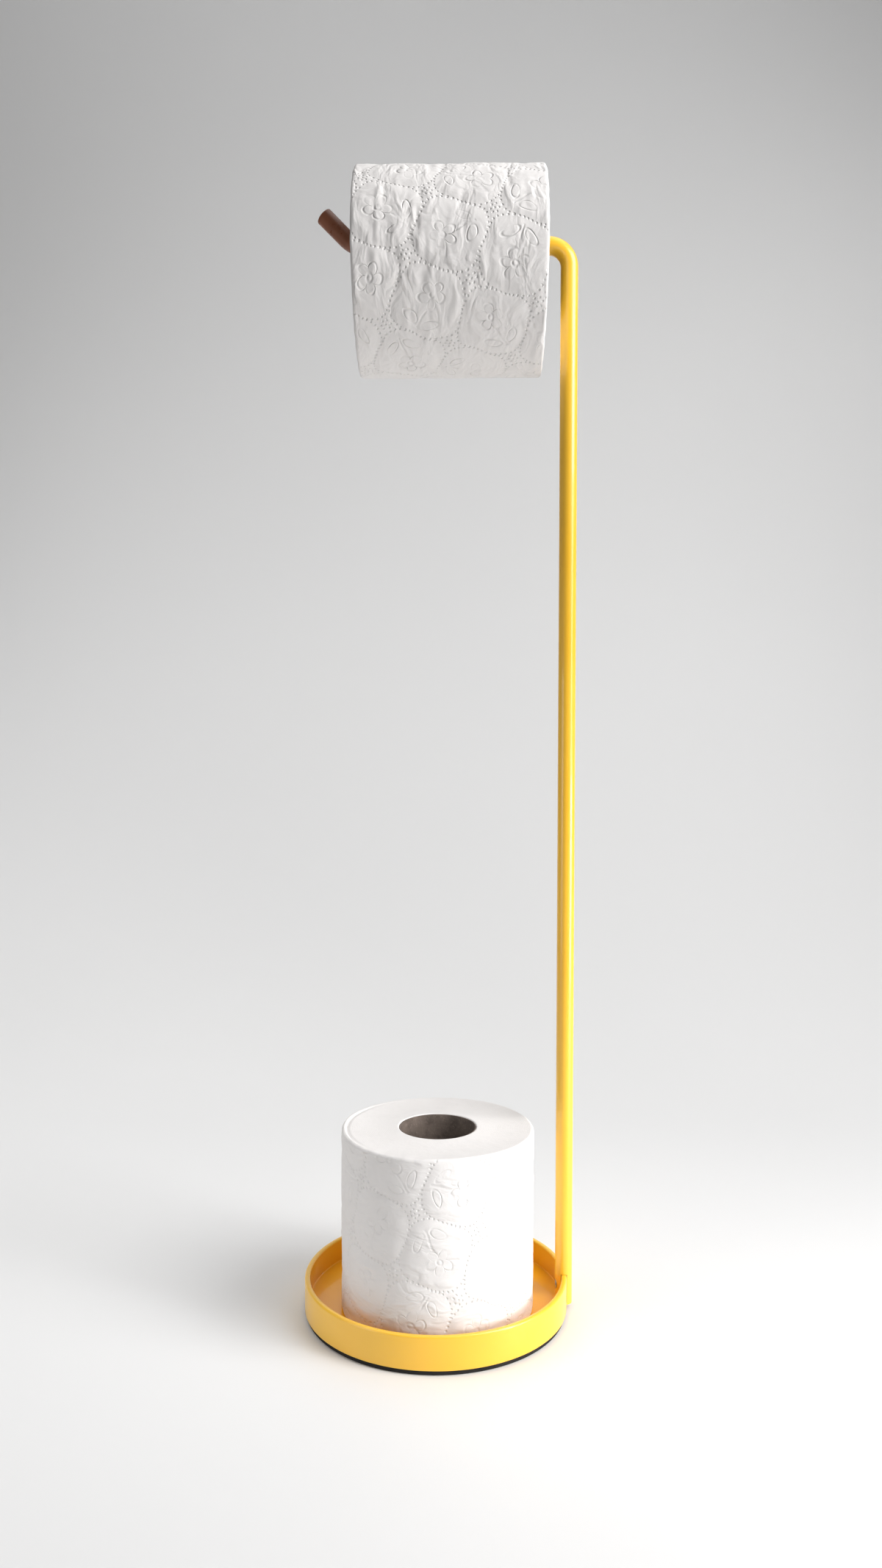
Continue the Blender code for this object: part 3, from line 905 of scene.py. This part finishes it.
class HOLDER_OT_sleeve(bpy.types.Operator):
    """Make the brown sleeve on the arm's upturned end"""

    bl_idname = "holder.sleeve"
    bl_label = "Sleeve"

    def execute(self, context):
        rod = settings().rod
        _, corner, lean, start = arm_places()
        end = corner + lean * rod.tip_from_corner
        outside = bar_between("end_sleeve", [start, corner, end], ROD_RADIUS, rod.tip_bend,
                              brown_sleeve)
        outside = modified(outside, "BEVEL", width=rod.sleeve_round, segments=5,
                           limit_method="ANGLE", angle_limit=radians(60))
        bore = bar_between(
            "sleeve_bore", [start + ALONG_ARM * ROD_RADIUS, corner, end - lean * rod.sleeve_end],
            ROD_RADIUS - rod.sleeve_wall, rod.tip_bend, brown_sleeve)
        link_piece("end_sleeve", carve(outside, bore), brown_sleeve, "stand",
                   ["arm_end_sleeve"])
        return {"FINISHED"}


class HOLDER_OT_cores(bpy.types.Operator):
    """Make the cardboard cores and the seams of their wound plies"""

    bl_idname = "holder.cores"
    bl_label = "Cores"

    def execute(self, context):
        rolls = settings().rolls
        bore = CORE_RADIUS - rolls.core_wall
        half = CORE_LENGTH / 2
        edge = rolls.core_wall / 3
        tree = bpy.data.node_groups.get("Ply Seam") or ply_seam_tree()
        for label, centre, tilt, *_ in ROLLS:
            name = label + "_core_tube"
            tube = round_tube(name, CORE_RADIUS, bore, -half, half, (edge, edge), 128, 3)
            tube.transform(Matrix.Translation(centre) @ Matrix.Rotation(tilt, 4, "Y"))
            link_piece(name, tube, core_cardboard, label + "_roll",
                       [label + "_roll_core"])
            name = label + "_ply_seam"
            seam = apply_tree(
                put_in_scene(name + "_start", bpy.data.meshes.new(name)), name, tree, Bore=bore,
                Length=CORE_LENGTH - 2 * edge, Turns=rolls.ply_turns, Strip_Width=edge * 2,
                Strip_Height=rolls.ply_edge, Centre=centre, Tilt=(0, tilt, 0),
                Material=find_material(core_cardboard))
            link_piece(name, seam, core_cardboard, label + "_roll")
        return {"FINISHED"}


def sheet_lattice():
    """Return the cells' size and turn with which the pattern closes round the roll."""
    rolls = settings().rolls
    steps = hypot(rolls.cells_round, rolls.cells_shift)
    return tau * ROLL_RADIUS / steps, atan2(rolls.cells_shift, rolls.cells_round)


def soft_waves(around, across, seed, count, fastest):
    """Return a smooth uneven field over the roll that closes on itself all round."""
    chance = np.random.default_rng(seed)
    field = np.zeros(np.broadcast(around, across).shape)
    for _ in range(count):
        turns = chance.integers(1, fastest)
        drift = chance.uniform(-1, 1) * fastest
        phase = chance.uniform(0, tau)
        field += np.sin(turns * around + drift * across + phase) / sqrt(count)
    return field


def outer_relief(around, across, seed, slack):
    """Return how far the paper's outside stands above its lowest, in metres.

    around is an angle and across runs from -1 to 1 over the roll's width.
    """
    rolls = settings().rolls
    size, turn = sheet_lattice()
    along = around * ROLL_RADIUS
    place = across * ROLL_WIDTH / 2
    column = (along * cos(turn) - place * sin(turn)) / size % 1.0 - 0.5
    row = (along * sin(turn) + place * cos(turn)) / size % 1.0 - 0.5
    power = rolls.cell_power
    outline = 2 * (np.abs(column) ** power + np.abs(row) ** power) ** (1 / power)
    relief = rolls.pillow * (1 - np.exp(-((outline - 1) / PILLOW_EDGE) ** 2))
    chance = np.random.default_rng(seed)
    for _ in range(rolls.crease_count):
        middle = chance.uniform(-CREASE_SPREAD, CREASE_SPREAD)
        start = chance.uniform(-pi, pi)
        length = chance.uniform(*CREASE_LENGTHS)
        width = chance.uniform(*CREASE_WIDTHS)
        tilt = chance.normal(0, CREASE_TILT)
        height = chance.choice((-1, 1)) * chance.uniform(*CREASE_HEIGHTS)
        ahead = (around - start + pi) % tau - pi
        aside = place - middle * ROLL_WIDTH / 2 - tilt * ahead * ROLL_RADIUS
        relief = relief + slack * rolls.crease * height * np.exp(
            -(ahead * ROLL_RADIUS / length) ** 2 - (aside / width) ** 2)
    return relief + slack * rolls.crease * WAVE_SHARE * soft_waves(around, across, seed + 1, 12, 9)


def paper_profile():
    """Return the radii and heights of the paper's section, and how far each is on its outside.

    It runs from the bore's lower end out, up the outside and back in to the bore's upper end.
    """
    rolls = settings().rolls
    inner, half = CORE_RADIUS + rolls.glue_gap, ROLL_WIDTH / 2
    lip, drop = rolls.bore_round, rolls.edge_round
    steps, end, climb = (np.arange(count) for count in (ROUND_ROWS, END_ROWS, rolls.rows + 1))
    sine, cosine = np.sin(QUARTER * steps / ROUND_ROWS), np.cos(QUARTER * steps / ROUND_ROWS)
    radii = np.concatenate([
        inner + lip - lip * cosine,
        inner + lip + (ROLL_RADIUS - drop - inner - lip) * end / END_ROWS,
        ROLL_RADIUS - drop + drop * sine])
    heights = np.concatenate([
        -half + lip - lip * sine, 0 * end - half, -half + drop - drop * cosine])
    sides = np.concatenate([0.0 * steps, 0.0 * end, steps / ROUND_ROWS])
    level = -half + drop + 2 * (half - drop) * climb / rolls.rows
    outside = np.ones(len(climb))
    return (np.concatenate([radii, ROLL_RADIUS * outside, radii[::-1]]),
            np.concatenate([heights, level, -heights[::-1]]),
            np.concatenate([sides, outside, sides[::-1]]))


def end_hollows(angle, depth, side, seed):
    """Return how far the wound ends lie inside the roll's width, in metres.

    depth runs from 0 at the core to 1 at the outside.
    """
    rolls = settings().rolls
    swell = soft_waves(angle, depth, seed + 2, 8, 4) * END_SWELL * depth ** 2
    ragged = soft_waves(angle, depth * 0, seed + 3, 14, 40) * END_RAGGED * depth ** 4
    dish = END_DISH * (1 - side) * np.sin(pi * depth)
    loose = np.exp(-((angle - rolls.lifted_place) / rolls.lifted_spread) ** 2) * (1 - side)
    groove = np.exp(-((depth - LIFTED_DEPTH) / LIFTED_WIDTH) ** 2) - 0.5 * (depth > OUTER_SHEET)
    return swell + ragged + dish + rolls.lifted_edge * loose * groove + END_INSET


def paper_mesh(name, centre, axis, seed, slack, press):
    """Make a roll's paper: a soft wound cylinder with layered ends and a bore."""
    rolls = settings().rolls
    columns, half = rolls.columns, ROLL_WIDTH / 2
    radii, heights, sides = paper_profile()
    count = len(radii)
    angle = (np.arange(columns) * tau / columns)[None, :]
    level, side = heights[:, None], sides[:, None] * np.ones(columns)
    relief = outer_relief(angle, np.clip(level / half, -1, 1), seed, slack)
    loose = rolls.loose_edge * angle / tau
    radius = (radii[:, None] + side * (relief - relief[side > 0.99].mean())
              + side * (loose.mean() - loose))
    inner = CORE_RADIUS + rolls.glue_gap
    depth = (radii[:, None] - inner) / (ROLL_RADIUS - inner)
    near_end = np.abs(level) > half - rolls.edge_round * 1.01
    height = level - end_hollows(angle, depth, side, seed) * np.sign(level) * near_end
    verts = (np.array(centre) + height[..., None] * np.array(axis)
             + (radius * np.cos(angle))[..., None] * np.array(AWAY)
             + (radius * np.sin(angle))[..., None] * np.array(axis.cross(AWAY)))
    low = np.arange(count * columns).reshape(count, columns)
    high = np.roll(low, -1, axis=0)
    faces = np.stack([low, np.roll(low, -1, axis=1), np.roll(high, -1, axis=1), high], axis=-1)
    mesh = bpy.data.meshes.new(name)
    mesh.from_pydata(verts.reshape(-1, 3).tolist(), [], faces.reshape(-1, 4).tolist())
    mesh.update()

    # the unrolled sheet: X round the roll, Y across it and on over the ends
    run = heights + np.sign(heights) * (radii - ROLL_RADIUS) * (sides < 0.5)
    face_rows = np.arange(count).repeat(columns)
    face_columns = np.tile(np.arange(columns), count)
    corner_rows = np.stack([face_rows] * 2 + [(face_rows + 1) % count] * 2, axis=-1)
    corner_columns = face_columns[:, None] + np.array((0, 1, 1, 0))
    arc = tau * ROLL_RADIUS / columns
    sheet = np.stack([corner_columns * arc, run[corner_rows]], axis=-1)
    mesh.uv_layers.new(name="sheet").data.foreach_set("uv", sheet.reshape(-1).astype(np.float32))
    winding = radii[:, None] / LAYER_PITCH + angle / tau
    for label, values in (("side", side), ("press", press * side), ("winding", winding)):
        layer = mesh.attributes.new(label, "FLOAT", "POINT")
        layer.data.foreach_set("value", values.reshape(-1).astype(np.float32))

    shape = bmesh.new()
    shape.from_mesh(mesh)
    bmesh.ops.recalc_face_normals(shape, faces=shape.faces)
    shape.to_mesh(mesh)
    shape.free()
    mesh.shade_smooth()
    return mesh


class HOLDER_OT_paper(bpy.types.Operator):
    """Make the paper of both rolls"""

    bl_idname = "holder.paper"
    bl_label = "Paper"

    def execute(self, context):
        for label, centre, _, axis, seed, slack, press in ROLLS:
            name = label + "_paper_winding"
            mesh = paper_mesh(name, centre, axis, seed, slack, press)
            link_piece(name, mesh, white_paper, label + "_roll",
                       [label + "_roll_paper"])
        return {"FINISHED"}


def make_floor():
    """Make a floor that curves up into a backdrop behind the holder."""
    reach, back, rise, bend = 3.0, 1.10, 3.0, 0.80
    outline = [(-reach, 0.0)]
    for turn in quarter_turn(24):
        outline.append((back - bend + bend * sin(turn), bend - bend * cos(turn)))
    outline.append((back, rise))
    count = len(outline)
    mesh = bpy.data.meshes.new("pale_floor")
    mesh.from_pydata([(side * reach, y, z) for side in (-1, 1) for y, z in outline], [],
                     [(row, count + row, count + row + 1, row + 1) for row in range(count - 1)])
    mesh.shade_smooth()
    mesh.materials.append(find_material(pale_floor))
    floor = put_in_scene("pale_floor", mesh)


def make_lights(stage):
    """Make the soft lights and a faint even sky."""
    for name, place, target, width, height, spread in LIGHTS:
        light = bpy.data.lights.new(name + "_light", "AREA")
        light.shape = "RECTANGLE"
        light.energy = getattr(stage, name + "_power")
        light.size = width
        light.size_y = height
        light.spread = radians(spread)
        lamp = put_in_scene(name + "_light", light)
        lamp.location = place
        way = Vector(target) - Vector(place)
        lamp.rotation_euler = way.to_track_quat("-Z", "Y").to_euler()
    world = bpy.data.worlds.new("even_sky")
    world.use_nodes = True
    sky = world.node_tree.nodes["Background"]
    sky.inputs["Color"].default_value = (1.0, 1.0, 1.0, 1.0)
    sky.inputs["Strength"].default_value = stage.sky
    bpy.context.scene.world = world
    bpy.context.scene.view_settings.view_transform = "Standard"


def make_camera(stage):
    """Place the camera at the photograph's viewing angle."""
    forward = Vector((sin(stage.yaw) * cos(stage.pitch),
                      cos(stage.yaw) * cos(stage.pitch), -sin(stage.pitch)))
    level = Vector((cos(stage.yaw), -sin(stage.yaw), 0))
    above = level.cross(forward)
    right = level * cos(stage.roll) + above * sin(stage.roll)
    up = above * cos(stage.roll) - level * sin(stage.roll)
    lens = bpy.data.cameras.new("camera")
    lens.sensor_width = 36
    lens.lens = stage.focal_pixels * lens.sensor_width / FRAME_HEIGHT
    lens.shift_x = -stage.centre_right / FRAME_HEIGHT
    lens.shift_y = stage.centre_down / FRAME_HEIGHT
    lens.clip_start = 0.01
    camera = put_in_scene("camera", lens)
    turned = Matrix((right, up, -forward)).transposed().to_4x4()
    camera.matrix_world = Matrix.Translation(stage.camera_place) @ turned
    bpy.context.scene.camera = camera


class HOLDER_OT_stage(bpy.types.Operator):
    """Make the floor, the lights and the camera"""

    bl_idname = "holder.stage"
    bl_label = "Stage"

    def execute(self, context):
        make_floor()
        make_lights(settings().stage)
        make_camera(settings().stage)
        return {"FINISHED"}


class HolderSettings(bpy.types.PropertyGroup):
    """All the holder's settings."""

    looks: PointerProperty(type=LacquerSettings)
    tray: PointerProperty(type=TraySettings)
    rod: PointerProperty(type=RodSettings)
    rolls: PointerProperty(type=RollSettings)
    stage: PointerProperty(type=StageSettings)


OPERATORS = (HOLDER_OT_tray, HOLDER_OT_rod, HOLDER_OT_sleeve, HOLDER_OT_cores,
             HOLDER_OT_paper, HOLDER_OT_stage)


class HOLDER_PT_panel(bpy.types.Panel):
    """Lists the holder's pieces in the sidebar"""

    bl_idname = "HOLDER_PT_panel"
    bl_label = "Toilet Paper Holder"
    bl_space_type = "VIEW_3D"
    bl_region_type = "UI"
    bl_category = "Holder"

    def draw(self, context):
        for operator in OPERATORS:
            self.layout.operator(operator.bl_idname)
        for group in ("looks", "tray", "rod", "rolls", "stage"):
            box = self.layout.box()
            values = getattr(context.scene.holder_settings, group)
            for name in values.bl_rna.properties.keys():
                if name not in ("rna_type", "name"):
                    box.prop(values, name)


CLASSES = (LacquerSettings, TraySettings, RodSettings, RollSettings, StageSettings,
           HolderSettings, *OPERATORS, HOLDER_PT_panel)


def register():
    """Register the classes and hang the settings on the scene."""
    for kind in CLASSES:
        bpy.utils.register_class(kind)
    bpy.types.Scene.holder_settings = PointerProperty(type=HolderSettings)


def unregister():
    """Undo register."""
    del bpy.types.Scene.holder_settings
    for kind in reversed(CLASSES):
        bpy.utils.unregister_class(kind)


def main():
    """Dress the frame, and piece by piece."""
    register()
    handled_surface_group()
    pressed_fibre_group()
    embossed_sheet_group()
    bpy.ops.holder.tray()
    bpy.ops.holder.rod()
    bpy.ops.holder.sleeve()
    bpy.ops.holder.cores()
    bpy.ops.holder.paper()
    bpy.ops.holder.stage()


if __name__ == "__main__":
    main()
